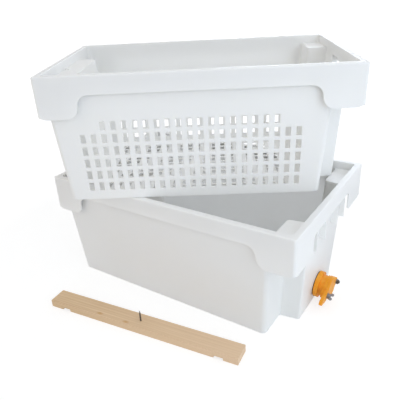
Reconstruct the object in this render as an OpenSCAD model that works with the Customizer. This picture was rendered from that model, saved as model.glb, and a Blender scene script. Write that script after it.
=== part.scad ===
// Uncapping tank: a moulded tank crate with a honey gate, a perforated strainer crate that rests
// askew on its rim, and a loose frame rest bar with a spike.
// Millimetres, +Z up. The origin is the middle of the tank's base, on the floor.
// +X points to the gate end, +Y to the back.

/* [Crates] */
// Length of both crates over the rim
crate_l = 645; // [560:1:760]
// Width of both crates over the rim
crate_w = 413; // [380:1:480]
// Height of both crates
crate_h = 276; // [250:1:330]
// Thickness of the crate walls
wall_t = 3; // [2:0.1:4]
// Thickness of the crate base
base_t = 3; // [2:0.1:5]
// Distance from the outside of the rim skirt in to the top of the wall
rim_overhang = 11; // [9:0.5:16]
// Depth of the step that lets the crates stack when one is turned end for end
stack_step = 45; // [34:1:60]
// Drop from the rim to the stacking ledges
ledge_drop = 19; // [14:0.5:26]
// Radius of the upright corners of the walls
corner_r = 12; // [8:0.5:18]
// Radius of the upright edges of the steps
step_r = 5; // [4:0.5:8]
// Width of the bump at the gate end, at the base
bump_w = 194; // [170:1:220]
// Slant across each side of the bump and of the recess
step_slant = 6; // [2:0.5:10]
// Width of the recess in the far end, at the base
recess_w = 186; // [160:1:210]

/* [Rim] */
// Thickness of the rim's flat top
rim_t = 3.5; // [2.5:0.1:5]
// Thickness of the skirt that hangs from the rim
skirt_t = 3; // [2:0.1:4]
// Depth of the skirt along the sides
skirt_drop = 38.5; // [30:0.5:46]
// Depth of the lugs at the corners
lug_drop = 86; // [70:1:100]
// Length of each corner lug along the side
lug_l = 82.5; // [70:0.5:110]
// Width of each corner lug across the end
lug_w = 94.5; // [75:0.5:105]
// Radius of the curves at the end lugs
end_curve_r = 11; // [6:0.5:15]
// Radius of the rim's corners, seen from above
rim_r = 6; // [5:0.5:12]
// Radius that rounds the foot of each lug at the crate's corner
lug_r = 14; // [8:0.5:20]

/* [Hand holds] */
// Width of the hand slot in the gate end, behind the skirt
slot_w = 68; // [50:1:72]
// Height of the hand slot
slot_h = 18; // [12:0.5:20]
// Spacing of the two webs beside the hand slot
web_pitch = 76; // [76:1:110]
// Drop from the rim to the foot of those webs
web_drop = 86; // [60:1:90]
// Spacing of the two outer webs
outer_web_pitch = 175; // [150:1:180]
// Drop from the rim to the foot of the outer webs
outer_web_drop = 92; // [70:1:100]
// Length of the drain hole in the far stacking ledge
drain_l = 14; // [10:1:24]
// Place of the drain hole across the crate
drain_y = -36; // [-60:1:60]

/* [Strainer holes] */
// Width of a strainer hole
hole_w = 11; // [7:0.5:14]
// Height of a strainer hole
hole_h = 19.5; // [10:0.5:22]
// Distance from each end of the side walls to the middle of the first hole
hole_margin = 50.3; // [40:0.1:60]
// Spacing of the rows of holes
hole_pitch_z = 27.7; // [24:0.1:28]
// Height of the lowest row above the base
hole_first_z = 31; // [22:0.5:34]
// Holes in a full row
hole_columns = 21; // [11:1:21]
// Rows of holes on the sides
hole_rows = 6; // [3:1:6]
// Holes left out at each end of the top row
top_row_skip = 2; // [0:1:4]
// Rows of holes across the base
base_rows = 11; // [5:1:11]

/* [Strainer place] */
// Turn of the strainer crate on the tank, in degrees
strainer_yaw = 31.5; // [20:0.5:36]
// Place of the strainer crate along the tank
strainer_x = -21; // [-40:1:20]
// Place of the strainer crate across the tank
strainer_y = 29; // [0:1:40]

/* [Gate] */
// Height of the gate's middle above the floor
gate_z = 41; // [41:0.5:60]
// Bore of the gate
bore_d = 38; // [30:0.5:42]
// Diameter of the threaded spigot through the wall
spigot_d = 48; // [46:0.5:50]
// Diameter of the flange
flange_d = 62; // [60:0.5:70]
// Thickness of the flange
flange_t = 10; // [6:0.5:14]
// Diameter of the neck between the flange and the face
neck_d = 50; // [46:0.5:51]
// Length of the neck
neck_l = 11; // [9:0.5:20]
// Thickness of the face plate
face_t = 7; // [6:0.5:10]
// Diameter of the back nut over its grip lugs
back_nut_d = 66; // [62:0.5:72]
// Thickness of the back nut
nut_t = 12; // [8:0.5:16]
// Length of each grip lug on the back nut
nut_grip = 4; // [2:0.5:4]
// Thickness of each gasket
gasket_t = 2; // [1:0.1:3]
// Diameter of the paddle's disc
paddle_d = 54; // [50:0.5:56]
// Thickness of the paddle
paddle_t = 7; // [5:0.5:10]
// Distance of each bolt from the gate's middle
bolt_reach = 31; // [31:0.5:38]
// Length of the lever past the clamp bolt
lever_l = 38; // [26:1:50]
// Width of the lever at the clamp bolt
lever_w = 24; // [21:0.5:26]
// Width of the lever's tip
lever_tip_w = 14; // [8:0.5:18]
// Diameter of the gate's two bolts
bolt_d = 6; // [5:0.5:7]
// Width of the heads of the bolts across their corners
bolt_head_d = 11; // [10:0.5:12]
// Height of the heads of the bolts, let into the back of the face plate
bolt_head_h = 4; // [3:0.1:4]
// Diameter of the washers
washer_d = 13; // [11:0.5:16]
// Thickness of the washers
washer_t = 1.2; // [0.8:0.1:2]
// Height of the nuts
bolt_nut_h = 5; // [4:0.5:8]
// Width of the pivot nut across its corners
bolt_nut_d = 11.5; // [10:0.5:13]
// Span of the wing nut
wing_span = 24; // [22:0.5:32]
// Height of the wings above the washer
wing_h = 12; // [8:0.5:16]
// Thickness of the wings
wing_t = 2.6; // [2:0.1:4]

/* [Frame rest bar] */
// How far the bar reaches past the rim at each end
bar_end = 37.5; // [20:0.5:60]
// Width of the bar
bar_w = 43; // [35:0.5:60]
// Thickness of the bar
bar_t = 18; // [15:0.5:30]
// Depth of the notches that sit on the rim
notch_depth = 6; // [4:0.5:8]
// Play of each notch on the rim
notch_play = 8; // [4:0.5:12]
// Height of the spike above the bar
spike_h = 29; // [20:0.5:40]
// Diameter of the spike
spike_d = 3.6; // [3:0.1:6]
// Diameter of the spike's head, let into the underside
spike_head_d = 9; // [8:0.5:14]
// Thickness of the spike's head
spike_head_t = 1.6; // [1:0.1:3]
// Distance from the tank's rim out to the middle of the bar
bar_gap = 87; // [80:1:160]
// Place of the bar along the tank
bar_x = -3.5; // [-60:0.5:60]
// Turn of the bar on the floor, in degrees
bar_yaw = 7.1; // [0:0.1:8]

/* [Hidden] */

$fn = 64;
// Steps in each rounded corner of the walls
corner_steps = 6;
// Overrun of every cut past the face that it leaves
over = wall_t;
// Outward lean of the main walls per unit of height
draft_share = 0.065;
// Outward lean of the sides of the steps per unit of height
step_draft_share = 0.03;
draft_angle = atan(draft_share);

// Heights in the crate
ledge_z = crate_h - ledge_drop;
lug_z = crate_h - lug_drop;
skirt_z = crate_h - skirt_drop;
// Radius of the double curve where the skirt drops to a corner lug
side_curve_r = (lug_drop - skirt_drop) / 2;
// Half sizes of the walls at the base, outside
base_x = crate_l / 2 - rim_overhang - draft_share * ledge_z;
base_y = crate_w / 2 - rim_overhang - draft_share * ledge_z;
// Collar above the ledges, outside
collar_l = crate_l - 2 * rim_overhang;
collar_w = crate_w - 2 * rim_overhang;
// Width of the rim's flat top
rim_w = rim_overhang + wall_t;
slot_z = ledge_z - wall_t - slot_h / 2 - skirt_t;
// Spacing of the strainer holes along the crate
hole_pitch_x = (2 * base_x - stack_step - 2 * hole_margin) / (hole_columns - 1);

// Fits of the gate
spigot_play = 0.5;
thread_play = 0.15;
shank_play = 0.05;
slot_play = 0.5;
// Stations along the gate's axis, outward from the wall
flange_z = gasket_t;
neck_z = flange_z + flange_t;
face_z = neck_z + neck_l;
paddle_z = face_z + face_t;
washer_z = paddle_z + paddle_t;
nut_z = washer_z + washer_t;
bolt_end_z = nut_z + bolt_nut_h + bolt_d / 3;
// Inner face of the wall, square to the lean
wall_inner_z = -wall_t * cos(draft_angle);
back_nut_z = wall_inner_z - gasket_t - nut_t;
spigot_z = back_nut_z - nut_t / 4;
gasket_d = flange_d - 2 * gasket_t;
ear_d = washer_d + bolt_d;

// Bar
bar_l = crate_w + 2 * bar_end;
notch_w = rim_w + notch_play;
notch_x = crate_w / 2 - rim_w / 2;

// Plain helpers
function unit(v) = v / norm(v);
function left_of(v) = [-v.y, v.x];
function wrap(list, i) = list[(i + len(list)) % len(list)];
function turn_at(list, i) =
    cross(list[i] - wrap(list, i - 1), wrap(list, i + 1) - list[i]);

// Corners of the crate's outer wall at height z, anticlockwise from the front left
function wall_corners(z) =
    let (
        lean = draft_share * z,
        side_lean = step_draft_share * z,
        x = base_x + lean,
        y = base_y + lean,
        step_x = x - stack_step,
        bump_y = bump_w / 2 + side_lean,
        recess_y = recess_w / 2 - side_lean
    ) [
        [-x, -y],
        [step_x, -y],
        [step_x, -bump_y - step_slant],
        [x, -bump_y],
        [x, bump_y],
        [step_x, bump_y + step_slant],
        [step_x, y],
        [-x, y],
        [-x, recess_y + step_slant],
        [-step_x, recess_y],
        [-step_x, -recess_y],
        [-x, -recess_y - step_slant]
    ];

// The corners that are the crate's own, not those of a step
function is_main_corner(i) = i == 0 || i == 1 || i == 6 || i == 7;

// A corner moved in by the given distance from both of its edges
function inset_corner(list, i, inset) =
    let (
        first = left_of(unit(list[i] - wrap(list, i - 1))),
        second = left_of(unit(wrap(list, i + 1) - list[i]))
    ) list[i] + inset * (first + second) / (1 + first * second);

// The points of one rounded corner
function round_corner(before, corner, after, r) =
    let (
        back = unit(before - corner),
        ahead = unit(after - corner),
        half = acos(back * ahead) / 2,
        middle = corner + unit(back + ahead) * r / sin(half),
        start = corner + back * r / tan(half) - middle,
        start_angle = atan2(start.y, start.x),
        turn = sign(cross(-back, ahead)) * (180 - 2 * half)
    ) [
        for (i = [0 : corner_steps])
            let (angle = start_angle + turn * i / corner_steps)
                middle + r * [cos(angle), sin(angle)]
    ];

// The rounded outline of the wall at height z, moved in by inset
function wall_outline(z, inset) =
    let (
        plain = wall_corners(z),
        list = [for (i = [0 : len(plain) - 1]) inset_corner(plain, i, inset)]
    ) [
        for (i = [0 : len(list) - 1])
            let (
                r = is_main_corner(i) ? corner_r : step_r,
                own_r = turn_at(list, i) > 0 ? r - inset : r + inset
            )
                each round_corner(wrap(list, i - 1), list[i], wrap(list, i + 1), own_r)
    ];

// Triangles that fill the wall's outline: a fan from the middle for the body, and one for each leg
// beside the recess. The middle is the point after the last of the outline.
function outline_fill(count) =
    let (
        steps = corner_steps + 1,
        front = corner_steps,
        back = 7 * steps,
        half = corner_steps / 2,
        back_recess = 9 * steps + half,
        front_recess = 10 * steps + half
    ) concat(
        [for (i = [front : back - 1]) [count, i, i + 1]],
        [[count, back, back_recess]],
        [for (i = [back_recess : front_recess - 1]) [count, i, i + 1]],
        [[count, front_recess, front]],
        [for (i = [back + 1 : back_recess - 1]) [back, i, i + 1]],
        [for (i = [front_recess : count + front - 2]) [front, i % count, (i + 1) % count]]
    );

// A drafted solid between two heights of the wall
module wall_loft(z0, z1, inset) {
    low = wall_outline(z0, inset);
    high = wall_outline(z1, inset);
    count = len(low);
    points = concat(
        [for (p = low) [p.x, p.y, z0]],
        [[0, 0, z0]],
        [for (p = high) [p.x, p.y, z1]],
        [[0, 0, z1]]
    );
    fill = outline_fill(count);
    up = count + 1;
    faces = concat(
        fill,
        [for (t = fill) [up + t[2], up + t[1], up + t[0]]],
        [for (i = [0 : count - 1]) [i, up + i, up + (i + 1) % count]],
        [for (i = [0 : count - 1]) [i, up + (i + 1) % count, (i + 1) % count]]
    );
    polyhedron(points, faces);
}

// A rectangle with round corners
module round_rect(l, w, r) {
    square([l - 2 * r, w], center = true);
    square([l, w - 2 * r], center = true);
    for (x = [-1, 1], y = [-1, 1])
        translate([x * (l / 2 - r), y * (w / 2 - r)])
            circle(r);
}

// The gap between two lugs, drawn with height upwards
module lug_gap(span, r) {
    foot_z = lug_z - over;
    translate([-span / 2, foot_z])
        square([span, skirt_z - r - foot_z]);
    translate([r - span / 2, foot_z])
        square([span - 2 * r, skirt_z - foot_z]);
    for (side = [-1, 1]) {
        translate([side * (span / 2 - r), skirt_z - r])
            circle(r);
        difference() {
            translate([side * (span + r) / 2, foot_z + (r + over) / 2])
                square([r + 2 * skirt_t, r + over], center = true);
            translate([side * (span / 2 + r), lug_z + r])
                circle(r);
            translate([side * (span / 2 + 2 * r), lug_z])
                square([2 * r, 4 * r], center = true);
        }
    }
}

// What is cut from the foot of the lugs, to round each one towards the crate's corner
module lug_feet() {
    for (x = [-1, 1], y = [-1, 1])
        translate([x * crate_l / 2, y * crate_w / 2, lug_z])
            rotate([0, 0, atan2(y, x)])
                rotate([90, 0, 0])
                    linear_extrude(4 * lug_r, center = true)
                        difference() {
                            square(2 * lug_r, center = true);
                            translate([-lug_r, lug_r])
                                circle(lug_r);
                        }
}

// The skirt round the rim, with a lug at each corner
module skirt() {
    difference() {
        translate([0, 0, lug_z])
            linear_extrude(lug_drop)
                difference() {
                    round_rect(crate_l, crate_w, rim_r);
                    round_rect(crate_l - 2 * skirt_t, crate_w - 2 * skirt_t, rim_r - skirt_t);
                }
        rotate([90, 0, 0])
            linear_extrude(2 * crate_w, center = true)
                lug_gap(crate_l - 2 * lug_l, side_curve_r);
        rotate([90, 0, 90])
            linear_extrude(2 * crate_l, center = true)
                lug_gap(crate_w - 2 * lug_w, end_curve_r);
        lug_feet();
    }
}

// A pair of webs that tie the skirt to the end wall
module end_webs(pitch, drop) {
    z = crate_h - drop;
    x = base_x + draft_share * z - wall_t / 2;
    for (side = [-1, 1])
        translate([x, side * pitch / 2 - skirt_t / 2, z])
            cube([crate_l / 2 - skirt_t / 2 - x, skirt_t, drop - rim_t / 2]);
}

// The hollow of a crate
module crate_hollow() {
    wall_loft(base_t, ledge_z, wall_t);
    translate([0, 0, ledge_z])
        linear_extrude(ledge_drop + over)
            round_rect(collar_l - 2 * wall_t, collar_w - 2 * wall_t, corner_r - wall_t);
}

// One moulded crate, standing on z = 0
module crate() {
    difference() {
        union() {
            wall_loft(0, ledge_z, 0);
            translate([0, 0, ledge_z - wall_t])
                linear_extrude(ledge_drop + wall_t)
                    round_rect(collar_l, collar_w, corner_r);
            translate([0, 0, crate_h - rim_t])
                linear_extrude(rim_t)
                    round_rect(crate_l, crate_w, rim_r);
            skirt();
            end_webs(web_pitch, web_drop);
            end_webs(outer_web_pitch, outer_web_drop);
        }
        crate_hollow();
        translate([base_x + draft_share * slot_z - wall_t / 2, 0, slot_z])
            cube([4 * wall_t, slot_w, slot_h], center = true);
        translate([-collar_l / 2 + wall_t + drain_l / 2, drain_y, ledge_z])
            cube([drain_l, drain_l, 4 * wall_t], center = true);
    }
}

// Holes through both long sides
module side_holes() {
    grid_x = -stack_step / 2;
    depth = crate_w / 2 - base_y + 2 * corner_r;
    for (side = [-1, 1])
        translate([grid_x, side * (crate_w / 2 - depth / 2), hole_first_z])
            rotate([90, 0, 0])
                linear_extrude(depth, center = true)
                    for (row = [0 : hole_rows - 1])
                        let (skip = row == hole_rows - 1 ? top_row_skip : 0)
                            for (column = [skip : hole_columns - 1 - skip])
                                translate([
                                    (column - (hole_columns - 1) / 2) * hole_pitch_x,
                                    row * hole_pitch_z
                                ])
                                    square([hole_w, hole_h], center = true);
}

// Holes through the base
module base_holes() {
    grid_x = -stack_step / 2;
    translate([grid_x, 0, -over])
        linear_extrude(base_t + 2 * over)
            for (row = [0 : base_rows - 1])
                for (column = [1 : hole_columns - 2])
                    translate([
                        (column - (hole_columns - 1) / 2) * hole_pitch_x,
                        (row - (base_rows - 1) / 2) * hole_pitch_z
                    ])
                        square([hole_w, hole_h], center = true);
}

// The gate's own axes: x to the back, y up, z out from the wall
module at_gate() {
    translate([base_x + draft_share * gate_z, 0, gate_z])
        rotate([0, 90 + draft_angle, 0])
            rotate([0, 0, 90])
                children();
}

// A ring on the gate's axis
module ring(outer_d, inner_d, z0, l) {
    translate([0, 0, z0])
        difference() {
            cylinder(h = l, d = outer_d);
            translate([0, 0, -over])
                cylinder(h = l + 2 * over, d = inner_d);
        }
}

// A bolt of the gate, with its head let into the face plate, at x = side * bolt_reach
module gate_bolt(side) {
    translate([side * bolt_reach, 0, face_z]) {
        cylinder(h = bolt_head_h, d = bolt_head_d, $fn = 6);
        cylinder(h = bolt_end_z - face_z, d = bolt_d);
    }
}

module bolt_hole(side, z0, l, play) {
    translate([side * bolt_reach, 0, z0 - over])
        cylinder(h = l + 2 * over, d = bolt_d + 2 * play);
}

module gate_washer(side) {
    translate([side * bolt_reach, 0, 0])
        ring(washer_d, bolt_d + 2 * shank_play, washer_z, washer_t);
}

module tank() {
    color("ghostwhite")
        difference() {
            crate();
            at_gate()
                translate([0, 0, -flange_t])
                    cylinder(h = 2 * flange_t, d = spigot_d + 2 * spigot_play);
        }
}

module strainer_crate() {
    color("white")
        translate([strainer_x, strainer_y, crate_h])
            rotate([0, 0, strainer_yaw])
                difference() {
                    crate();
                    side_holes();
                    base_holes();
                }
}

module gate_body() {
    color("orange")
        at_gate()
            difference() {
                union() {
                    translate([0, 0, spigot_z])
                        cylinder(h = face_z - spigot_z, d = spigot_d);
                    translate([0, 0, flange_z])
                        cylinder(h = flange_t, d = flange_d);
                    translate([0, 0, neck_z])
                        cylinder(h = neck_l, d = neck_d);
                    translate([0, 0, face_z])
                        linear_extrude(face_t) {
                            circle(d = paddle_d);
                            square([2 * bolt_reach, ear_d], center = true);
                            for (side = [-1, 1])
                                translate([side * bolt_reach, 0])
                                    circle(d = ear_d);
                        }
                }
                translate([0, 0, spigot_z - over])
                    cylinder(h = paddle_z - spigot_z + 2 * over, d = bore_d);
                for (side = [-1, 1]) {
                    bolt_hole(side, face_z, face_t, shank_play);
                    translate([side * bolt_reach, 0, face_z - over])
                        cylinder(h = bolt_head_h + over, d = bolt_head_d + 2 * thread_play, $fn = 6);
                }
            }
}

module gate_outer_gasket() {
    color("dimgray")
        at_gate()
            ring(gasket_d, spigot_d + 2 * thread_play, 0, gasket_t);
}

module gate_inner_gasket() {
    color("dimgray")
        at_gate()
            ring(back_nut_d, spigot_d + 2 * thread_play, wall_inner_z - gasket_t, gasket_t);
}

// The back nut has eight grip lugs round its edge
module gate_back_nut() {
    lug_count = 8;
    color("orange")
        at_gate()
            translate([0, 0, back_nut_z])
                linear_extrude(nut_t)
                    difference() {
                        union() {
                            circle(d = back_nut_d - 2 * nut_grip);
                            for (i = [0 : lug_count - 1])
                                rotate((i + 0.5) * 360 / lug_count)
                                    translate([back_nut_d / 4, 0])
                                        square([back_nut_d / 2, 2 * nut_grip], center = true);
                        }
                        circle(d = spigot_d + 2 * thread_play);
                    }
}

// The paddle turns on the pivot bolt. A slot lets it swing up off the clamp bolt.
module gate_paddle() {
    slot_d = bolt_d + 2 * slot_play;
    swing_r = 2 * bolt_reach;
    tip_x = -bolt_reach - lever_l + lever_tip_w / 2;
    color("darkorange")
        at_gate()
            difference() {
                translate([0, 0, paddle_z])
                    linear_extrude(paddle_t)
                        difference() {
                            union() {
                                circle(d = paddle_d);
                                translate([bolt_reach / 2, 0])
                                    square([bolt_reach, ear_d], center = true);
                                translate([bolt_reach, 0])
                                    circle(d = ear_d);
                                polygon([
                                    [0, lever_w / 2],
                                    [-bolt_reach - ear_d / 2, lever_w / 2],
                                    [tip_x, lever_tip_w / 2],
                                    [tip_x, -lever_tip_w / 2],
                                    [-bolt_reach - ear_d / 2, -lever_w / 2],
                                    [0, -lever_w / 2]
                                ]);
                                translate([tip_x, 0])
                                    circle(d = lever_tip_w);
                            }
                            translate([-bolt_reach, 0])
                                circle(d = slot_d);
                            intersection() {
                                translate([bolt_reach, 0])
                                    difference() {
                                        circle(swing_r + slot_d / 2);
                                        circle(swing_r - slot_d / 2);
                                    }
                                translate([-bolt_reach, -lever_w])
                                    square([lever_w, 2 * lever_w], center = true);
                            }
                        }
                bolt_hole(1, paddle_z, paddle_t, shank_play);
            }
}

module pivot_bolt() {
    color("silver")
        at_gate()
            gate_bolt(1);
}

module pivot_washer() {
    color("silver")
        at_gate()
            gate_washer(1);
}

module pivot_nut() {
    color("silver")
        at_gate()
            difference() {
                translate([bolt_reach, 0, nut_z])
                    cylinder(h = bolt_nut_h, d = bolt_nut_d, $fn = 6);
                bolt_hole(1, nut_z, bolt_nut_h, shank_play);
            }
}

module clamp_bolt() {
    color("silver")
        at_gate()
            gate_bolt(-1);
}

module clamp_washer() {
    color("silver")
        at_gate()
            gate_washer(-1);
}

// Each wing rises from the hub and ends in a round tip
module clamp_wing_nut() {
    hub_d = bolt_d + 2 * wing_t;
    tip_r = wing_h / 3;
    wing_end = wing_span / 2 - tip_r;
    color("silver")
        at_gate()
            difference() {
                translate([-bolt_reach, 0, nut_z]) {
                    cylinder(h = bolt_nut_h, d = hub_d);
                    rotate([90, 0, 0])
                        linear_extrude(wing_t, center = true)
                            for (side = [-1, 1]) {
                                polygon([
                                    [0, 0],
                                    [side * hub_d / 2, 0],
                                    [side * wing_span / 2, wing_h - tip_r],
                                    [side * (wing_end - tip_r / 2), wing_h - tip_r / 3],
                                    [side * bolt_d / 2, bolt_nut_h],
                                    [0, bolt_nut_h]
                                ]);
                                translate([side * wing_end, wing_h - tip_r])
                                    circle(tip_r);
                            }
                }
                bolt_hole(-1, nut_z, wing_h, shank_play);
            }
}

// Places a part of the bar, lying on the floor in front of the tank
module at_bar() {
    translate([bar_x, -(crate_w / 2 + bar_gap), 0])
        rotate([0, 0, bar_yaw])
            children();
}

module frame_rest_bar() {
    color("burlywood")
        at_bar()
            difference() {
                translate([0, 0, bar_t / 2])
                    cube([bar_l, bar_w, bar_t], center = true);
                for (side = [-1, 1])
                    translate([side * notch_x, 0, 0])
                        cube([notch_w, bar_w + 2 * over, 2 * notch_depth], center = true);
                translate([0, 0, -over])
                    cylinder(h = bar_t + 2 * over, d = spike_d);
                translate([0, 0, -over])
                    cylinder(h = spike_head_t + over, d = spike_head_d);
            }
}

// The spike is a nail driven through from below, with its point up
module bar_spike() {
    point_h = 2 * spike_d;
    color("dimgray")
        at_bar() {
            cylinder(h = spike_head_t, d = spike_head_d);
            cylinder(h = bar_t + spike_h - point_h, d = spike_d);
            translate([0, 0, bar_t + spike_h - point_h])
                cylinder(h = point_h, d1 = spike_d, d2 = spike_d / 8);
        }
}

tank();
strainer_crate();
gate_body();
gate_outer_gasket();
gate_inner_gasket();
gate_back_nut();
gate_paddle();
pivot_bolt();
pivot_washer();
pivot_nut();
clamp_bolt();
clamp_washer();
clamp_wing_nut();
frame_rest_bar();
bar_spike();
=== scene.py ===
"""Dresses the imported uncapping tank: two moulded crates, an orange honey gate and a pine rest bar.

Every finished piece stands for a CAD node, in metres and in the CAD frame: the origin is the middle
of the tank's base, +X points to the gate end, +Y to the back and +Z up.
"""

from math import cos, radians, sin

import bmesh
import bpy
from mathutils import Matrix, Vector


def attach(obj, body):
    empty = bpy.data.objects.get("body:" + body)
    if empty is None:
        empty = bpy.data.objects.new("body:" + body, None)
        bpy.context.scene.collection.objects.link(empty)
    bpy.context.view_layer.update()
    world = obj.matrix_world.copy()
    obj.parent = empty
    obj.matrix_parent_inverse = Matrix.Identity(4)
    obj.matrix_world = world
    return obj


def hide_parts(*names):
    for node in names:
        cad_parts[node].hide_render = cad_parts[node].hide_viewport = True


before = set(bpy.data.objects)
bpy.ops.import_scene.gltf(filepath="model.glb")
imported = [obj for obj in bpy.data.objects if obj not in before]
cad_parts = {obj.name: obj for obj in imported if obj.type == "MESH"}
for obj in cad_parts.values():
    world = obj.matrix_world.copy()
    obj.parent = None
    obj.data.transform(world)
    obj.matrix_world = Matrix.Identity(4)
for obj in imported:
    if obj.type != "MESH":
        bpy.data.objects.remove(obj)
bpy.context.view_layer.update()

bl_info = {
    "name": "Uncapping tank",
    "version": (1, 0, 0),
    "blender": (4, 5, 0),
    "location": "View3D > Sidebar > Uncapping tank",
    "description": "Finishes for a tank crate with a honey gate, its strainer crate and rest bar",
    "category": "Object",
}

# Limits for vertices to merge, edges on one level and edges too short to round, in metres,
# and for the angle between two faces
MERGE = 1e-6
ON_LEVEL = 1e-4
SHORT_EDGE = 0.001
FLAT = radians(0.3)
SMOOTH = radians(38)
SHARP = radians(24)

# The two colours and the result among a Mix node's sockets
MIX_COLOURS = (6, 7)
MIX_RESULT = 2

# Where the tank's far walls start and end: towards the back, and down from the rim
FAR_BACK = (-0.1, 0.18)
FAR_DOWN = (0.27, 0.2)

# Scale of the pine's textures along the bar, across it and through it, and their places
SWAY_SCALE = (2.2, 9.0, 9.0)
RING_SCALE = (1.6, 95.0, 95.0)
RING_HEART = (0.0, 2.2, -6.4)
FIBRE_SCALE = (14.0, 900.0, 900.0)
STREAK_SCALE = (4.0, 330.0, 330.0)
FLECK_SCALE = (9.0, 420.0, 420.0)
FLECK_PLACE = (3.0, 1.0, 2.0)
# Painted light: a ramp along the bar that paints it paler towards the gate end, the side the key
# lamp lights
PAINTED_LIGHT_SCALE = (2.0, 0.0, 0.0)
PAINTED_LIGHT_PLACE = (0.5, 0.0, 0.0)
KNOT_SCALE = (90.0, 190.0, 60.0)
KNOTS = ((-0.103, -0.015, 0.018), (-0.03, -0.0165, 0.018))

# Side, place and colour of each lamp, and the point that all of them face
LAMPS = {
    "key": (1.6, (2.05, -1.0, 0.8), (0.72, 0.86, 1.0)),
    "fill": (1.8, (-1.3, -2.0, 0.9), (1.0, 0.84, 0.66)),
    "top": (1.2, (1.3, -0.1, 1.7), (0.86, 0.92, 1.0)),
    "back": (1.8, (-0.3, 2.1, 0.6), (0.74, 0.84, 1.0)),
}
LAMP_AIM = (0.0, 0.0, 0.25)

# The floor as light finds it and as it is seen, where its shadow fades out, and its glow there
FLOOR_PAINT = (0.82, 0.82, 0.82, 1.0)
FLOOR_SHADE = (0.4, 0.4, 0.4, 1.0)
FLOOR_FADE = (0.7, 2.0)
FLOOR_GLOW = (0.7, 1.0)
SENSOR_WIDTH = 36.0


# Properties


class CrateFinish(bpy.types.PropertyGroup):
    """Sizes and colours of the two moulded crates."""

    colour: bpy.props.FloatVectorProperty(
        name="Plastic", description="Natural polyethylene", subtype="COLOR",
        default=(0.955, 0.957, 0.935)
    )
    cloudy_colour: bpy.props.FloatVectorProperty(
        name="Cloudy patches", description="Thicker, duller plastic", subtype="COLOR",
        default=(0.935, 0.935, 0.905)
    )
    scuff_colour: bpy.props.FloatVectorProperty(
        name="Scuffs", description="Whitened scratches", subtype="COLOR",
        default=(0.965, 0.965, 0.96)
    )
    glow_depth: bpy.props.FloatProperty(
        name="Glow depth", description="How far light travels in the plastic", unit="LENGTH",
        default=0.004
    )
    far_glow_depth: bpy.props.FloatProperty(
        name="Far glow depth", unit="LENGTH", default=0.018,
        description="The same in the tank's far walls, which the back lamp shines through"
    )
    rim_round: bpy.props.FloatProperty(
        name="Rim rounding", description="Radius along the top of the rim", unit="LENGTH",
        default=0.0028
    )
    lip_round: bpy.props.FloatProperty(
        name="Lip rounding", description="Radius along the rim's inner lip", unit="LENGTH",
        default=0.0012
    )
    foot_round: bpy.props.FloatProperty(
        name="Foot rounding", description="Radius along the foot of the walls", unit="LENGTH",
        default=0.0024
    )
    edge_round: bpy.props.FloatProperty(
        name="Edge rounding", description="Radius of every other edge", unit="LENGTH",
        default=0.0005
    )
    height: bpy.props.FloatProperty(
        name="Crate height", description="Height of one crate", unit="LENGTH", default=0.276
    )
    half_size: bpy.props.FloatVectorProperty(
        name="Rim half size", description="Half the rim's length and width", size=2, unit="LENGTH",
        default=(0.3225, 0.2065)
    )
    rim_width: bpy.props.FloatProperty(
        name="Rim width", description="Width of the rim's flat top", unit="LENGTH", default=0.014
    )
    strainer_place: bpy.props.FloatVectorProperty(
        name="Strainer place", description="Where the strainer crate stands", subtype="TRANSLATION",
        default=(-0.021, 0.029, 0.276)
    )
    strainer_turn: bpy.props.FloatProperty(
        name="Strainer turn", description="How far the strainer crate is turned", subtype="ANGLE",
        default=radians(31.5)
    )


class GateFinish(bpy.types.PropertyGroup):
    """Colours and edges of the honey gate and its fasteners."""

    nylon: bpy.props.FloatVectorProperty(
        name="Nylon", description="Orange nylon of the gate", subtype="COLOR",
        default=(0.9, 0.35, 0.025)
    )
    worn_nylon: bpy.props.FloatVectorProperty(
        name="Worn nylon", description="Paler, rubbed nylon", subtype="COLOR",
        default=(0.93, 0.45, 0.07)
    )
    rubber: bpy.props.FloatVectorProperty(
        name="Rubber", description="Black rubber of the gaskets", subtype="COLOR",
        default=(0.02, 0.02, 0.021)
    )
    bright_steel: bpy.props.FloatVectorProperty(
        name="Bright steel", description="Plated wing nut, clamp bolt and washers", subtype="COLOR",
        default=(0.34, 0.335, 0.35)
    )
    dark_steel: bpy.props.FloatVectorProperty(
        name="Dark steel", description="Dull pivot bolt, pivot nut and spike", subtype="COLOR",
        default=(0.16, 0.15, 0.14)
    )
    edge_round: bpy.props.FloatProperty(
        name="Moulded edge", description="Radius of the gate's edges", unit="LENGTH",
        default=0.0009
    )
    steel_round: bpy.props.FloatProperty(
        name="Steel edge", description="Radius of the fasteners' and gaskets' edges", unit="LENGTH",
        default=0.0003
    )


class BarFinish(bpy.types.PropertyGroup):
    """Colours and edges of the pine bar."""

    early_wood: bpy.props.FloatVectorProperty(
        name="Early wood", description="Pale part of each ring", subtype="COLOR",
        default=(0.76, 0.555, 0.34)
    )
    late_wood: bpy.props.FloatVectorProperty(
        name="Late wood", description="Darker part of each ring", subtype="COLOR",
        default=(0.62, 0.4, 0.21)
    )
    # Pale sapwood flecks, and also painted light: the bar is painted paler towards the gate end,
    # where the key lamp shines from
    sap_wood_and_painted_light: bpy.props.FloatVectorProperty(
        name="Sap wood", description="Pale flecks, and paler wood towards the gate end",
        subtype="COLOR", default=(0.9, 0.67, 0.48)
    )
    knot: bpy.props.FloatVectorProperty(
        name="Knots", description="Small brown pin knots", subtype="COLOR",
        default=(0.6, 0.32, 0.11)
    )
    edge_round: bpy.props.FloatProperty(
        name="Bar edge", description="Radius of the bar's edges", unit="LENGTH", default=0.0011
    )
    place: bpy.props.FloatVectorProperty(
        name="Bar place", description="Where the middle of the bar lies", subtype="TRANSLATION",
        default=(-0.0035, -0.2935, 0.0)
    )
    turn: bpy.props.FloatProperty(
        name="Bar turn", description="How far the bar is turned", subtype="ANGLE",
        default=radians(7.1)
    )


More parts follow.
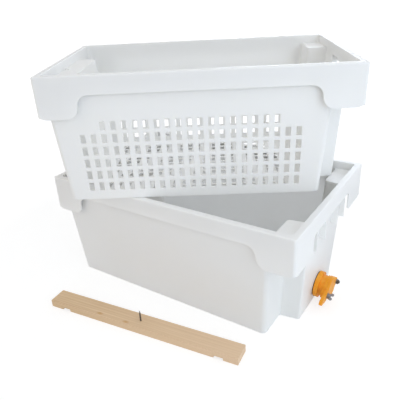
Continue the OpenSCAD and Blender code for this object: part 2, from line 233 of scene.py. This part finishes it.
class StudioSetup(bpy.types.PropertyGroup):
    """Camera, lamps and floor."""

    camera_place: bpy.props.FloatVectorProperty(
        name="Camera place", description="Where the camera stands", subtype="TRANSLATION",
        default=(0.58456, -0.88697, 0.72151)
    )
    yaw: bpy.props.FloatProperty(
        name="Yaw", description="Turn of the view from the back wall to the right", subtype="ANGLE",
        default=-0.60162
    )
    pitch: bpy.props.FloatProperty(
        name="Pitch", description="Tilt of the view above the horizon", subtype="ANGLE",
        default=-0.46097
    )
    roll: bpy.props.FloatProperty(
        name="Roll", description="Turn of the picture about the view", subtype="ANGLE",
        default=-0.05692
    )
    lens: bpy.props.FloatProperty(
        name="Focal length", description="For a sensor as wide as the picture",
        subtype="DISTANCE_CAMERA", default=41.819
    )
    key_power: bpy.props.FloatProperty(
        name="Key lamp", description="Cool soft lamp on the right", unit="POWER", default=14.0
    )
    fill_power: bpy.props.FloatProperty(
        name="Fill lamp", description="Warm soft lamp on the left", unit="POWER", default=5.0
    )
    top_power: bpy.props.FloatProperty(
        name="Top lamp", description="Soft lamp above the gate end", unit="POWER", default=4.0
    )
    back_power: bpy.props.FloatProperty(
        name="Back lamp", description="Cool lamp behind, that shines through the walls",
        unit="POWER", default=17.0
    )
    ambient: bpy.props.FloatProperty(
        name="Ambient", description="Strength of the room's light", min=0.0, default=0.63
    )
    floor_size: bpy.props.FloatProperty(
        name="Floor size", description="Side of the floor", unit="LENGTH", default=60.0
    )


# Mesh helpers


def select_only(piece):
    """Leaves one object selected and active."""
    bpy.ops.object.select_all(action="DESELECT")
    piece.select_set(True)
    bpy.context.view_layer.objects.active = piece


def copy_of(node, name):
    """A merged copy of a CAD node's mesh, with its flat faces joined up."""
    piece = bpy.data.objects.new(name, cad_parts[node].data.copy())
    bpy.context.scene.collection.objects.link(piece)
    piece.data.materials.clear()
    select_only(piece)
    bpy.ops.mesh.customdata_custom_splitnormals_clear()
    bpy.ops.object.mode_set(mode="EDIT")
    bpy.ops.mesh.select_all(action="SELECT")
    bpy.ops.mesh.remove_doubles(threshold=MERGE)
    bpy.ops.mesh.dissolve_limited(angle_limit=FLAT)
    bpy.ops.object.mode_set(mode="OBJECT")
    return piece


def is_sharp(edge):
    """Whether two faces meet at a real corner."""
    return len(edge.link_faces) == 2 and edge.calc_face_angle() > SHARP


def round_edges(piece, radius, steps, wanted):
    """Bevels the edges that pass a test."""
    select_only(piece)
    bpy.ops.object.mode_set(mode="EDIT")
    bpy.ops.mesh.select_mode(type="EDGE")
    bpy.ops.mesh.select_all(action="DESELECT")
    mesh = bmesh.from_edit_mesh(piece.data)
    for edge in mesh.edges:
        edge.select_set(wanted(edge))
    bmesh.update_edit_mesh(piece.data)
    bpy.ops.mesh.bevel(offset=radius, segments=steps, affect="EDGES", clamp_overlap=True)
    bpy.ops.object.mode_set(mode="OBJECT")


def smooth(piece):
    """Smooth shading that keeps the flat faces flat."""
    select_only(piece)
    bpy.ops.object.shade_smooth_by_angle(angle=SMOOTH)
    weighted = piece.modifiers.new("flat_faces", "WEIGHTED_NORMAL")
    weighted.keep_sharp = True
    bpy.ops.object.modifier_apply(modifier=weighted.name)


def settle(piece, node, body, material):
    """Gives a finished piece its material and its place in the frame."""
    piece.data.materials.append(material)
    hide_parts(node)
    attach(piece, body)


def dress(node, name, body, material, radius, steps):
    """Copies a CAD node, rounds all its sharp edges alike and settles it."""
    piece = copy_of(node, name)
    round_edges(piece, radius, steps, is_sharp)
    smooth(piece)
    settle(piece, node, body, material)


# Material helpers


class Tree:
    """A short way to add and join shader nodes."""

    def __init__(self, tree):
        self.tree = tree

    def add(self, kind, **values):
        node = self.tree.nodes.new(kind)
        for name, value in values.items():
            setattr(node, name, value)
        return node

    def join(self, start, end):
        self.tree.links.new(start, end)

    def noise(self, vector, scale, detail=3.0, roughness=0.55):
        node = self.add("ShaderNodeTexNoise")
        node.inputs["Scale"].default_value = scale
        node.inputs["Detail"].default_value = detail
        node.inputs["Roughness"].default_value = roughness
        self.join(vector, node.inputs["Vector"])
        return node.outputs["Fac"]

    def mapping(self, vector, scale=(1, 1, 1), turn=(0, 0, 0), place=(0, 0, 0)):
        node = self.add("ShaderNodeMapping")
        node.inputs["Location"].default_value = place
        node.inputs["Rotation"].default_value = turn
        node.inputs["Scale"].default_value = scale
        self.join(vector, node.inputs["Vector"])
        return node.outputs["Vector"]

    def remap(self, value, low, high, to_low=0.0, to_high=1.0):
        node = self.add("ShaderNodeMapRange")
        node.inputs["From Min"].default_value = low
        node.inputs["From Max"].default_value = high
        node.inputs["To Min"].default_value = to_low
        node.inputs["To Max"].default_value = to_high
        self.join(value, node.inputs["Value"])
        return node.outputs["Result"]

    def math(self, operation, first, second):
        node = self.add("ShaderNodeMath", operation=operation)
        for socket, value in zip(node.inputs, (first, second)):
            if isinstance(value, (int, float)):
                socket.default_value = value
            else:
                self.join(value, socket)
        return node.outputs["Value"]

    def blend(self, amount, first, second):
        node = self.add("ShaderNodeMix", data_type="RGBA")
        self.join(amount, node.inputs["Factor"])
        for index, value in zip(MIX_COLOURS, (first, second)):
            if hasattr(value, "node"):
                self.join(value, node.inputs[index])
            else:
                node.inputs[index].default_value = (*value, 1.0)
        return node.outputs[MIX_RESULT]

    def bump(self, height, strength, distance):
        node = self.add("ShaderNodeBump")
        node.inputs["Strength"].default_value = strength
        node.inputs["Distance"].default_value = distance
        self.join(height, node.inputs["Height"])
        return node.outputs["Normal"]


def new_group(name, inputs, outputs):
    """An empty node group with named sockets."""
    group = bpy.data.node_groups.new(name, "ShaderNodeTree")
    for label, kind, value in inputs:
        socket = group.interface.new_socket(label, in_out="INPUT", socket_type=kind)
        if value is not None:
            socket.default_value = value
    for label, kind in outputs:
        group.interface.new_socket(label, in_out="OUTPUT", socket_type=kind)
    tree = Tree(group)
    return tree, tree.add("NodeGroupInput"), tree.add("NodeGroupOutput")


def mottle_group():
    """Cloudy tone and a fine pebbled height, as on a moulded surface."""
    if "mottle" in bpy.data.node_groups:
        return bpy.data.node_groups["mottle"]
    tree, given, made = new_group(
        "mottle",
        [
            ("Vector", "NodeSocketVector", None),
            ("Cloud Scale", "NodeSocketFloat", 8.0),
            ("Pebble Scale", "NodeSocketFloat", 900.0),
        ],
        [("Tone", "NodeSocketFloat"), ("Pebble", "NodeSocketFloat")],
    )
    for scale, socket, detail in (("Cloud Scale", "Tone", 4.0), ("Pebble Scale", "Pebble", 2.0)):
        noise = tree.add("ShaderNodeTexNoise")
        noise.inputs["Detail"].default_value = detail
        tree.join(given.outputs["Vector"], noise.inputs["Vector"])
        tree.join(given.outputs[scale], noise.inputs["Scale"])
        tree.join(noise.outputs["Fac"], made.inputs[socket])
    return tree.tree


def scuff_group():
    """A mask of long fine scratches in two directions."""
    if "scuffs" in bpy.data.node_groups:
        return bpy.data.node_groups["scuffs"]
    tree, given, made = new_group(
        "scuffs",
        [
            ("Vector", "NodeSocketVector", None),
            ("Density", "NodeSocketFloat", 0.5),
        ],
        [("Mask", "NodeSocketFloat")],
    )
    masks = []
    for turn, scale in (((0.2, 0.3, 0.5), (6, 210, 210)), ((1.2, 0.4, -0.9), (260, 9, 260))):
        lines = tree.noise(tree.mapping(given.outputs["Vector"], scale, turn), 1.0, 2.0)
        masks.append(tree.remap(lines, 0.66, 0.72))
    both = tree.math("MAXIMUM", *masks)
    patches = tree.remap(tree.noise(given.outputs["Vector"], 7.0, 2.0), 0.5, 0.7)
    some = tree.math("MULTIPLY", both, patches)
    tree.join(tree.math("MULTIPLY", some, given.outputs["Density"]), made.inputs["Mask"])
    return tree.tree


def new_material(name):
    """A material with a Principled shader, and its object coordinates."""
    material = bpy.data.materials.new(name)
    material.use_nodes = True
    tree = Tree(material.node_tree)
    shader = material.node_tree.nodes["Principled BSDF"]
    coordinates = tree.add("ShaderNodeTexCoord").outputs["Object"]
    return material, tree, shader, coordinates


def use_group(tree, group, vector, **values):
    """Places a node group, with its own values."""
    node = tree.add("ShaderNodeGroup", node_tree=group)
    tree.join(vector, node.inputs["Vector"])
    for name, value in values.items():
        node.inputs[name.replace("_", " ")].default_value = value
    return node.outputs


def crate_plastic():
    """Natural polyethylene: waxy, cloudy and translucent, with whitened scuffs."""
    finish = bpy.context.scene.crate_finish
    material, tree, shader, place = new_material("natural_polyethylene")
    mottle = use_group(tree, mottle_group(), place, Cloud_Scale=5.0, Pebble_Scale=700.0)
    scuffs = use_group(tree, scuff_group(), place, Density=0.6)["Mask"]
    cloud = tree.remap(mottle["Tone"], 0.35, 0.7)
    colour = tree.blend(cloud, finish.colour, finish.cloudy_colour)
    colour = tree.blend(scuffs, colour, finish.scuff_colour)
    tree.join(colour, shader.inputs["Base Color"])
    rough = tree.remap(mottle["Tone"], 0.3, 0.7, 0.34, 0.46)
    rough = tree.math("ADD", rough, tree.math("MULTIPLY", scuffs, 0.2))
    tree.join(rough, shader.inputs["Roughness"])
    height = tree.math("SUBTRACT", mottle["Pebble"], scuffs)
    tree.join(tree.bump(height, 0.12, 0.0004), shader.inputs["Normal"])
    shader.inputs["Subsurface Weight"].default_value = 0.8
    shader.inputs["Subsurface Radius"].default_value = (1.0, 0.99, 0.94)
    split = tree.add("ShaderNodeSeparateXYZ")
    tree.join(place, split.inputs["Vector"])
    back = tree.remap(split.outputs["Y"], *FAR_BACK)
    down = tree.remap(split.outputs["Z"], *FAR_DOWN)
    far = tree.math("MULTIPLY", back, down)
    depth = tree.remap(far, 0.0, 1.0, finish.glow_depth, finish.far_glow_depth)
    tree.join(depth, shader.inputs["Subsurface Scale"])
    return material


def gate_nylon():
    """Satin orange nylon, paler where it is rubbed."""
    finish = bpy.context.scene.gate_finish
    material, tree, shader, place = new_material("orange_nylon")
    mottle = use_group(tree, mottle_group(), place, Cloud_Scale=45.0, Pebble_Scale=2200.0)
    scuffs = use_group(tree, scuff_group(), place, Density=0.8)["Mask"]
    rubbed = tree.remap(mottle["Tone"], 0.4, 0.8)
    colour = tree.blend(rubbed, finish.nylon, finish.worn_nylon)
    colour = tree.blend(scuffs, colour, finish.worn_nylon)
    tree.join(colour, shader.inputs["Base Color"])
    tree.join(tree.remap(mottle["Tone"], 0.3, 0.7, 0.4, 0.55), shader.inputs["Roughness"])
    tree.join(tree.bump(mottle["Pebble"], 0.1, 0.0002), shader.inputs["Normal"])
    shader.inputs["Specular IOR Level"].default_value = 0.15
    shader.inputs["Subsurface Weight"].default_value = 0.15
    shader.inputs["Subsurface Radius"].default_value = (1.0, 0.5, 0.2)
    shader.inputs["Subsurface Scale"].default_value = 0.003
    return material


def gasket_rubber():
    """Matt black rubber with a faint bloom."""
    finish = bpy.context.scene.gate_finish
    material, tree, shader, place = new_material("black_rubber")
    mottle = use_group(tree, mottle_group(), place, Cloud_Scale=60.0, Pebble_Scale=1800.0)
    bloom = [3 * value for value in finish.rubber]
    colour = tree.blend(tree.remap(mottle["Tone"], 0.4, 0.8), finish.rubber, bloom)
    tree.join(colour, shader.inputs["Base Color"])
    tree.join(tree.remap(mottle["Pebble"], 0.3, 0.7, 0.6, 0.8), shader.inputs["Roughness"])
    tree.join(tree.bump(mottle["Pebble"], 0.2, 0.0002), shader.inputs["Normal"])
    return material


def steel(name, colour, rough):
    """Turned and plated steel with smudges and fine scratches."""
    material, tree, shader, place = new_material(name)
    mottle = use_group(tree, mottle_group(), place, Cloud_Scale=180.0, Pebble_Scale=2600.0)
    scuffs = use_group(tree, scuff_group(), place, Density=1.0)["Mask"]
    dull = [0.72 * value for value in colour]
    smudges = tree.remap(mottle["Tone"], 0.4, 0.75)
    tree.join(tree.blend(smudges, colour, dull), shader.inputs["Base Color"])
    smear = tree.remap(mottle["Tone"], 0.3, 0.7, rough - 0.08, rough + 0.12)
    smear = tree.math("ADD", smear, tree.math("MULTIPLY", scuffs, 0.2))
    tree.join(smear, shader.inputs["Roughness"])
    tree.join(tree.bump(mottle["Pebble"], 0.08, 0.0001), shader.inputs["Normal"])
    shader.inputs["Metallic"].default_value = 1.0
    return material


def pine():
    """Planed pine: rings, fibre, streaks and pin knots, with painted light that makes it paler
    towards the gate end.
    """
    finish = bpy.context.scene.bar_finish
    material, tree, shader, place = new_material("planed_pine")
    centred = tree.mapping(place, place=[-v for v in finish.place])
    along = tree.mapping(centred, turn=(0, 0, -finish.turn))
    sway = tree.noise(tree.mapping(along, SWAY_SCALE), 1.0, 2.0)
    rings = tree.add("ShaderNodeTexWave", wave_type="RINGS", wave_profile="SAW")
    rings.rings_direction = "X"
    rings.inputs["Scale"].default_value = 1.0
    rings.inputs["Distortion"].default_value = 9.0
    rings.inputs["Detail"].default_value = 3.0
    rings.inputs["Detail Scale"].default_value = 0.6
    tree.join(tree.mapping(along, RING_SCALE, place=RING_HEART), rings.inputs["Vector"])
    fibre = tree.noise(tree.mapping(along, FIBRE_SCALE), 1.0, 3.0)
    streak = tree.noise(tree.mapping(along, STREAK_SCALE), 1.0, 2.0)
    flecks = tree.noise(tree.mapping(along, FLECK_SCALE, place=FLECK_PLACE), 1.0, 2.0)
    grain = tree.remap(rings.outputs["Fac"], 0.25, 1.0)
    colour = tree.blend(tree.math("MULTIPLY", grain, 0.62), finish.early_wood, finish.late_wood)
    colour = tree.blend(tree.remap(streak, 0.5, 0.75, 0.0, 0.5), colour, finish.late_wood)
    colour = tree.blend(tree.remap(fibre, 0.56, 0.8, 0.0, 0.35), colour, finish.late_wood)
    fresh = [1.12 * v for v in finish.early_wood]
    colour = tree.blend(tree.remap(sway, 0.35, 0.7, 0.0, 0.45), colour, fresh)
    # Painted light: a ramp that paints the bar paler towards the gate end, as if lit from that side
    painted_light_ramp = tree.add("ShaderNodeTexGradient")
    tree.join(tree.mapping(along, PAINTED_LIGHT_SCALE, place=PAINTED_LIGHT_PLACE), painted_light_ramp.inputs["Vector"])
    colour = tree.blend(tree.math("MULTIPLY", painted_light_ramp.outputs["Fac"], 0.55), colour, finish.sap_wood_and_painted_light)
    colour = tree.blend(tree.remap(flecks, 0.56, 0.7, 0.0, 0.5), colour, finish.sap_wood_and_painted_light)
    for spot in KNOTS:
        knot = tree.add("ShaderNodeTexGradient", gradient_type="SPHERICAL")
        around = tree.mapping(along, place=[-v for v in spot])
        tree.join(tree.mapping(around, KNOT_SCALE), knot.inputs["Vector"])
        colour = tree.blend(tree.math("MULTIPLY", knot.outputs["Fac"], 0.9), colour, finish.knot)
    tree.join(colour, shader.inputs["Base Color"])
    tree.join(tree.remap(fibre, 0.3, 0.7, 0.62, 0.5), shader.inputs["Roughness"])
    tree.join(tree.bump(tree.math("ADD", fibre, grain), 0.25, 0.0003), shader.inputs["Normal"])
    return material


def shared(maker, name, *values):
    """The material of that name, made the first time that it is asked for."""
    found = bpy.data.materials.get(name)
    if found is None:
        found = maker(*values)
    return found


def bright_steel():
    colour = bpy.context.scene.gate_finish.bright_steel
    return shared(steel, "plated_steel", "plated_steel", colour, 0.3)


def dark_steel():
    colour = bpy.context.scene.gate_finish.dark_steel
    return shared(steel, "dull_steel", "dull_steel", colour, 0.45)


# Pieces


class DressCrates(bpy.types.Operator):
    """Round the edges of the tank and the strainer crate and give them their plastic"""

    bl_idname = "uncapping.crates"
    bl_label = "Crates"

    def execute(self, context):
        finish = context.scene.crate_finish
        upright = Matrix.Identity(4)
        turn = Matrix.Rotation(finish.strainer_turn, 4, "Z")
        turned = Matrix.Translation(finish.strainer_place) @ turn
        plastic = shared(crate_plastic, "natural_polyethylene")
        for node, name, body, place in (
            ("tank", "tank_moulding", "tank_and_gate", upright),
            ("strainer_crate", "strainer_moulding", "strainer", turned),
        ):
            piece = copy_of(node, name)
            self.round_rim(piece, finish, place.inverted())
            round_edges(piece, finish.edge_round, 1, self.small_edge)
            smooth(piece)
            settle(piece, node, body, plastic)
        return {"FINISHED"}

    def round_rim(self, piece, finish, to_crate):
        """The rim's outer edge is well rounded, its inner lip and the foot less so."""
        half_l, half_w = finish.half_size
        near = finish.rim_width / 2

        def edge_at(edge, level):
            ends = [to_crate @ v.co for v in edge.verts]
            on_level = all(abs(p.z - level) < ON_LEVEL for p in ends)
            return (ends[0] + ends[1]) / 2 if on_level and is_sharp(edge) else None

        def outer(edge):
            p = edge_at(edge, finish.height)
            return p is not None and (abs(p.x) > half_l - near or abs(p.y) > half_w - near)

        def inner(edge):
            p = edge_at(edge, finish.height)
            return p is not None and abs(p.x) <= half_l - near and abs(p.y) <= half_w - near

        def foot(edge):
            top = max((to_crate @ v.co).z for face in edge.link_faces for v in face.verts)
            return edge_at(edge, 0.0) is not None and top > finish.height / 2

        round_edges(piece, finish.rim_round, 4, outer)
        round_edges(piece, finish.lip_round, 2, inner)
        round_edges(piece, finish.foot_round, 3, foot)

    @staticmethod
    def small_edge(edge):
        return is_sharp(edge) and edge.calc_length() > SHORT_EDGE


class DressGate(bpy.types.Operator):
    """Round the gate's mouldings and give them their nylon and rubber"""

    bl_idname = "uncapping.gate"
    bl_label = "Honey gate"

    def execute(self, context):
        finish = context.scene.gate_finish
        nylon = shared(gate_nylon, "orange_nylon")
        for node, name, body in (
            ("gate_body", "gate_body_moulding", "tank_and_gate"),
            ("gate_back_nut", "gate_back_nut_moulding", "tank_and_gate"),
            ("gate_paddle", "gate_paddle_moulding", "paddle"),
        ):
            dress(node, name, body, nylon, finish.edge_round, 3)
        rubber = shared(gasket_rubber, "black_rubber")
        for node in ("gate_outer_gasket", "gate_inner_gasket"):
            name = node + "_ring"
            dress(node, name, "tank_and_gate", rubber, finish.steel_round, 2)
        return {"FINISHED"}


class DressFasteners(bpy.types.Operator):
    """Round the bolts, washers and nuts of the gate and give them their steel"""

    bl_idname = "uncapping.fasteners"
    bl_label = "Gate fasteners"

    def execute(self, context):
        finish = context.scene.gate_finish
        bright, dark = bright_steel(), dark_steel()
        for node, body, slot, material in (
            ("pivot_bolt", "tank_and_gate", "dark_steel", dark),
            ("pivot_nut", "tank_and_gate", "dark_steel", dark),
            ("pivot_washer", "tank_and_gate", "bright_steel", bright),
            ("clamp_bolt", "tank_and_gate", "bright_steel", bright),
            ("clamp_washer", "tank_and_gate", "bright_steel", bright),
            ("clamp_wing_nut", "wing_nut", "bright_steel", bright),
        ):
            dress(node, node + "_steel", body, material, finish.steel_round, 2)
        return {"FINISHED"}


class DressBar(bpy.types.Operator):
    """Ease the edges of the rest bar and its spike and give them pine and steel"""

    bl_idname = "uncapping.bar"
    bl_label = "Frame rest bar"

    def execute(self, context):
        wood = shared(pine, "planed_pine")
        wood_round = context.scene.bar_finish.edge_round
        steel_round = context.scene.gate_finish.steel_round
        for node, name, slot, material, radius in (
            ("frame_rest_bar", "frame_rest_batten", "pine", wood, wood_round),
            ("bar_spike", "bar_nail", "dark_steel", dark_steel(), steel_round),
        ):
            dress(node, name, "rest_bar", material, radius, 2)
        return {"FINISHED"}


class SetStage(bpy.types.Operator):
    """Make the floor, the lamps, the room's light and the camera"""

    bl_idname = "uncapping.stage"
    bl_label = "Stage"

    def execute(self, context):
        setup = context.scene.studio_setup
        self.floor(setup)
        self.room(context.scene, setup)
        for name, (side, place, colour) in LAMPS.items():
            self.lamp(name, getattr(setup, name + "_power"), side, place, colour)
        self.camera(context.scene, setup)
        context.scene.view_settings.view_transform = "Standard"
        return {"FINISHED"}

    def seen(self, tree):
        """1 where the background shows, straight on or in a reflection."""
        path = tree.add("ShaderNodeLightPath")
        glossy, passed = path.outputs["Is Glossy Ray"], path.outputs["Is Transmission Ray"]
        mirrored = tree.math("MAXIMUM", glossy, passed)
        return tree.math("MAXIMUM", path.outputs["Is Camera Ray"], mirrored)

    def floor(self, setup):
        """A floor that is white where it is seen, and keeps the soft shadow."""
        bpy.ops.object.select_all(action="DESELECT")
        bpy.ops.mesh.primitive_plane_add(size=setup.floor_size, location=(0, 0, 0))
        floor = bpy.context.object
        floor.name = "floor"
        material = bpy.data.materials.new("floor_white")
        material.use_nodes = True
        tree = Tree(material.node_tree)
        material.node_tree.nodes.clear()
        paint = tree.add("ShaderNodeBsdfDiffuse")
        paint.inputs["Color"].default_value = FLOOR_PAINT
        shade = tree.add("ShaderNodeBsdfDiffuse")
        shade.inputs["Color"].default_value = FLOOR_SHADE
        white = tree.add("ShaderNodeEmission")
        reach = tree.add("ShaderNodeVectorMath", operation="LENGTH")
        tree.join(tree.add("ShaderNodeTexCoord").outputs["Object"], reach.inputs[0])
        glow = tree.remap(reach.outputs["Value"], *FLOOR_FADE, *FLOOR_GLOW)
        tree.join(glow, white.inputs["Strength"])
        bright = tree.add("ShaderNodeAddShader")
        tree.join(shade.outputs["BSDF"], bright.inputs[0])
        tree.join(white.outputs["Emission"], bright.inputs[1])
        share = tree.add("ShaderNodeMixShader")
        tree.join(self.seen(tree), share.inputs["Fac"])
        tree.join(paint.outputs["BSDF"], share.inputs[1])
        tree.join(bright.outputs["Shader"], share.inputs[2])
        tree.join(share.outputs["Shader"], tree.add("ShaderNodeOutputMaterial").inputs["Surface"])
        floor.data.materials.append(material)

    def room(self, scene, setup):
        """White where it is seen, and dimmer as a light."""
        world = bpy.data.worlds.new("studio")
        world.use_nodes = True
        tree = Tree(world.node_tree)
        background = world.node_tree.nodes["Background"]
        background.inputs["Color"].default_value = (1.0, 1.0, 1.0, 1.0)
        strength = tree.remap(self.seen(tree), 0.0, 1.0, setup.ambient, 1.0)
        tree.join(strength, background.inputs["Strength"])
        scene.world = world

    def lamp(self, name, power, side, place, colour):
        """A square soft lamp that faces the part."""
        bpy.ops.object.light_add(type="AREA", location=place)
        lamp = bpy.context.object
        lamp.name = name
        lamp.data.energy = power
        lamp.data.size = side
        lamp.data.color = colour
        aim = Vector(LAMP_AIM) - Vector(place)
        lamp.rotation_euler = aim.to_track_quat("-Z", "Y").to_euler()

    def camera(self, scene, setup):
        """The camera that took the photograph, from its place, angles and focal length."""
        data = bpy.data.cameras.new("camera")
        data.sensor_width = SENSOR_WIDTH
        data.lens = setup.lens
        camera = bpy.data.objects.new("camera", data)
        scene.collection.objects.link(camera)
        level = cos(setup.pitch)
        forward = Vector((sin(setup.yaw) * level, cos(setup.yaw) * level, sin(setup.pitch)))
        right = forward.cross(Vector((0, 0, 1))).normalized()
        up = right.cross(forward)
        facing = Matrix((right, up, -forward)).transposed().to_4x4()
        roll = Matrix.Rotation(setup.roll, 4, "Z")
        camera.matrix_world = Matrix.Translation(setup.camera_place) @ facing @ roll
        scene.camera = camera


class UncappingPanel(bpy.types.Panel):
    """Finishes of the uncapping tank"""

    bl_idname = "VIEW3D_PT_uncapping"
    bl_label = "Uncapping tank"
    bl_space_type = "VIEW_3D"
    bl_region_type = "UI"
    bl_category = "Uncapping tank"

    def draw(self, context):
        for operator in OPERATORS:
            self.layout.operator(operator.bl_idname)
        for name in SETTINGS:
            settings = getattr(context.scene, name)
            box = self.layout.box()
            for key in settings.__annotations__:
                box.prop(settings, key)


SETTINGS = {
    "crate_finish": CrateFinish,
    "gate_finish": GateFinish,
    "bar_finish": BarFinish,
    "studio_setup": StudioSetup,
}
OPERATORS = (DressCrates, DressGate, DressFasteners, DressBar, SetStage)


def register():
    for group in SETTINGS.values():
        bpy.utils.register_class(group)
    for operator in OPERATORS:
        bpy.utils.register_class(operator)
    bpy.utils.register_class(UncappingPanel)
    for name, group in SETTINGS.items():
        setattr(bpy.types.Scene, name, bpy.props.PointerProperty(type=group))


def unregister():
    for name in SETTINGS:
        delattr(bpy.types.Scene, name)
    bpy.utils.unregister_class(UncappingPanel)
    for operator in reversed(OPERATORS):
        bpy.utils.unregister_class(operator)
    for group in reversed(SETTINGS.values()):
        bpy.utils.unregister_class(group)


def main():
    register()
    bpy.ops.uncapping.crates()
    bpy.ops.uncapping.gate()
    bpy.ops.uncapping.fasteners()
    bpy.ops.uncapping.bar()
    bpy.ops.uncapping.stage()


if __name__ == "__main__":
    main()
